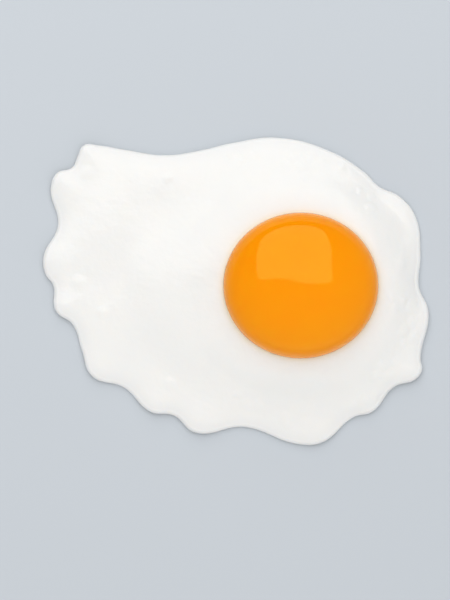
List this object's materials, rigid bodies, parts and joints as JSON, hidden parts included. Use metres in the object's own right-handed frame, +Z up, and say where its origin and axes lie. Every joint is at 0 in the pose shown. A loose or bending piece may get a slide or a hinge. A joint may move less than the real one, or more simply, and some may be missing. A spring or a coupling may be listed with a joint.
{
  "type": "fried egg",
  "caption": "Fried egg, sunny side up: a flat set white with a lobed, uneven edge and a domed yolk lying off centre in it.",
  "frame": {"origin": "on the surface that the egg lies on, under the middle of the white's outline", "axes": "+X along the egg's longest side, towards the side that the yolk lies on; +Y across it, away from the eater; +Z up"},
  "size_m": [0.1104, 0.088, 0.0184],
  "materials": {
    "egg_white": "satin",
    "yolk": "gloss"
  },
  "bodies": {
    "root": {"egg_white": "egg_white", "yolk": "yolk"}
  },
  "joints": []
}
